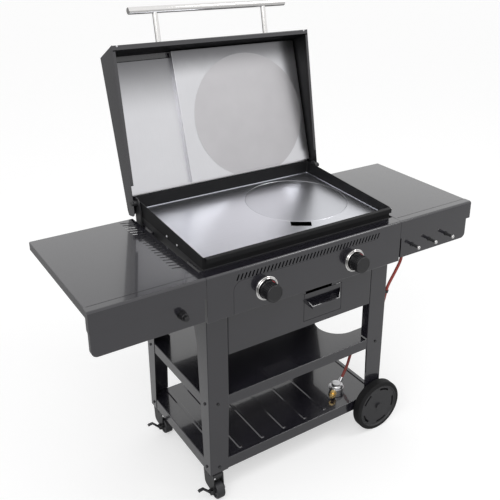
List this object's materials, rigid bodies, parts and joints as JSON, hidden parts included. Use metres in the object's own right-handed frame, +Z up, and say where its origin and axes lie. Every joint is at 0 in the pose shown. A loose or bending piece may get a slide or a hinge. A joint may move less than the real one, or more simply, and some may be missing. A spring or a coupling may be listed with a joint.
{
  "type": "gas grill with griddle",
  "caption": "Gas grill on a wheeled cart with a flat griddle plate, a hinged lid, side tables, shelves and a grease drawer.",
  "frame": {"origin": "on the floor, at the middle of the footprint of the whole part with its lid open", "axes": "+X to the right as the cook faces the panel, +Y to the back, +Z up"},
  "size_m": [1.46, 0.74, 1.5401],
  "materials": {
    "enamel": "gloss black enamel",
    "frame_paint": "semi-gloss black paint",
    "griddle_steel": "semi-gloss brushed",
    "liner_steel": "satin",
    "bright_steel": "polished",
    "plain_steel": "plain",
    "knob_plastic": "semi-gloss black",
    "wheel_plastic": "satin black",
    "tyre_rubber": "matt black",
    "zinc": "cast, satin",
    "brass": "plain",
    "hose_rubber": "satin dark red"
  },
  "bodies": {
    "cart": {"front_left_leg": "enamel", "front_right_leg": "enamel", "rear_left_leg": "enamel", "rear_right_leg": "enamel", "bottom_shelf": "enamel", "mid_shelf": "enamel", "front_apron": "enamel", "rear_panel": "enamel", "control_panel": "enamel", "left_table": "enamel", "right_table": "enamel", "left_fascia": "enamel", "right_fascia": "enamel", "left_lower_panel": "enamel", "right_lower_panel": "enamel", "firebox": "frame_paint", "table_rails": "frame_paint", "hinge_brackets": "frame_paint", "drawer_runners": "frame_paint", "caster_stems": "frame_paint", "frame_bolts": "frame_paint", "tool_hooks": "frame_paint", "knob_bezels": "bright_steel", "hinge_pins": "bright_steel", "left_burner": "plain_steel", "right_burner": "plain_steel", "wheel_axle": "plain_steel", "gas_manifold": "plain_steel", "igniter_housing": "knob_plastic", "hose_clip": "knob_plastic", "axle_caps": "wheel_plastic", "regulator": "zinc", "regulator_nut": "brass", "gas_valves": "brass", "gas_hose": "hose_rubber"},
    "griddle": {"griddle_pan": "griddle_steel"},
    "insert": {"round_insert": "griddle_steel"},
    "lid": {"lid_top": "enamel", "lid_left_side": "enamel", "lid_right_side": "enamel", "lid_liner": "liner_steel", "lid_heat_shield": "liner_steel", "handle_bar": "bright_steel", "handle_posts": "bright_steel"},
    "drawer": {"grease_drawer": "enamel"},
    "left_stem": {"left_valve_stem": "plain_steel"},
    "left_knob": {"left_knob": "knob_plastic"},
    "right_stem": {"right_valve_stem": "plain_steel"},
    "right_knob": {"right_knob": "knob_plastic"},
    "igniter": {"igniter_button": "knob_plastic"},
    "front_left_caster": {"front_left_fork": "frame_paint"},
    "rear_left_caster": {"rear_left_fork": "frame_paint"},
    "front_left_caster_wheel": {"front_left_caster_wheel": "wheel_plastic"},
    "rear_left_caster_wheel": {"rear_left_caster_wheel": "wheel_plastic"},
    "front_left_brake": {"front_left_brake": "wheel_plastic"},
    "rear_left_brake": {"rear_left_brake": "wheel_plastic"},
    "front_wheel": {"front_wheel_hub": "wheel_plastic", "front_wheel_tyre": "tyre_rubber"},
    "rear_wheel": {"rear_wheel_hub": "wheel_plastic", "rear_wheel_tyre": "tyre_rubber"}
  },
  "joints": [
    {"name": "lid_hinge", "type": "hinge", "parent": "cart", "child": "lid", "pos_m": [0, 0.17598, 0.917], "axis": [-1, 0, 0], "range_deg": [-103, 0]},
    {"name": "griddle_lift", "type": "slide", "parent": "cart", "child": "griddle", "axis": [0, -0.0349, 0.9994], "range_m": [0, 0.06]},
    {"name": "insert_lift", "type": "slide", "parent": "griddle", "child": "insert", "axis": [0, -0.0349, 0.9994], "range_m": [0, 0.06]},
    {"name": "drawer_slide", "type": "slide", "parent": "cart", "child": "drawer", "axis": [0, -1, 0], "range_m": [0, 0.24]},
    {"name": "igniter_press", "type": "slide", "parent": "cart", "child": "igniter", "axis": [0, 1, 0], "range_m": [0, 0.005], "stiffness_N_per_m": 400},
    {"name": "left_knob_push", "type": "slide", "parent": "cart", "child": "left_stem", "axis": [0, 1, 0], "range_m": [0, 0.003], "stiffness_N_per_m": 800},
    {"name": "left_knob_turn", "type": "hinge", "parent": "left_stem", "child": "left_knob", "pos_m": [-0.174, -0.34202, 0.763], "axis": [0, -1, 0], "range_deg": [0, 200]},
    {"name": "right_knob_push", "type": "slide", "parent": "cart", "child": "right_stem", "axis": [0, 1, 0], "range_m": [0, 0.003], "stiffness_N_per_m": 800},
    {"name": "right_knob_turn", "type": "hinge", "parent": "right_stem", "child": "right_knob", "pos_m": [0.174, -0.34202, 0.763], "axis": [0, -1, 0], "range_deg": [0, 200]},
    {"name": "front_left_caster_swivel", "type": "hinge", "parent": "cart", "child": "front_left_caster", "pos_m": [-0.339, -0.25602, 0.085], "axis": [0, 0, 1], "continuous": true},
    {"name": "front_left_caster_roll", "type": "hinge", "parent": "front_left_caster", "child": "front_left_caster_wheel", "pos_m": [-0.339, -0.28102, 0.03], "axis": [1, 0, 0], "continuous": true},
    {"name": "front_left_brake_press", "type": "hinge", "parent": "front_left_caster", "child": "front_left_brake", "pos_m": [-0.3663, -0.28102, 0.03], "axis": [0, -1, 0], "range_deg": [0, 14]},
    {"name": "rear_left_caster_swivel", "type": "hinge", "parent": "cart", "child": "rear_left_caster", "pos_m": [-0.339, 0.13798, 0.085], "axis": [0, 0, 1], "continuous": true},
    {"name": "rear_left_caster_roll", "type": "hinge", "parent": "rear_left_caster", "child": "rear_left_caster_wheel", "pos_m": [-0.339, 0.11298, 0.03], "axis": [1, 0, 0], "continuous": true},
    {"name": "rear_left_brake_press", "type": "hinge", "parent": "rear_left_caster", "child": "rear_left_brake", "pos_m": [-0.3663, 0.11298, 0.03], "axis": [0, -1, 0], "range_deg": [0, 14]},
    {"name": "front_wheel_roll", "type": "hinge", "parent": "cart", "child": "front_wheel", "pos_m": [0.339, -0.30302, 0.1005], "axis": [0, 1, 0], "continuous": true},
    {"name": "rear_wheel_roll", "type": "hinge", "parent": "cart", "child": "rear_wheel", "pos_m": [0.339, 0.19698, 0.1005], "axis": [0, 1, 0], "continuous": true}
  ]
}
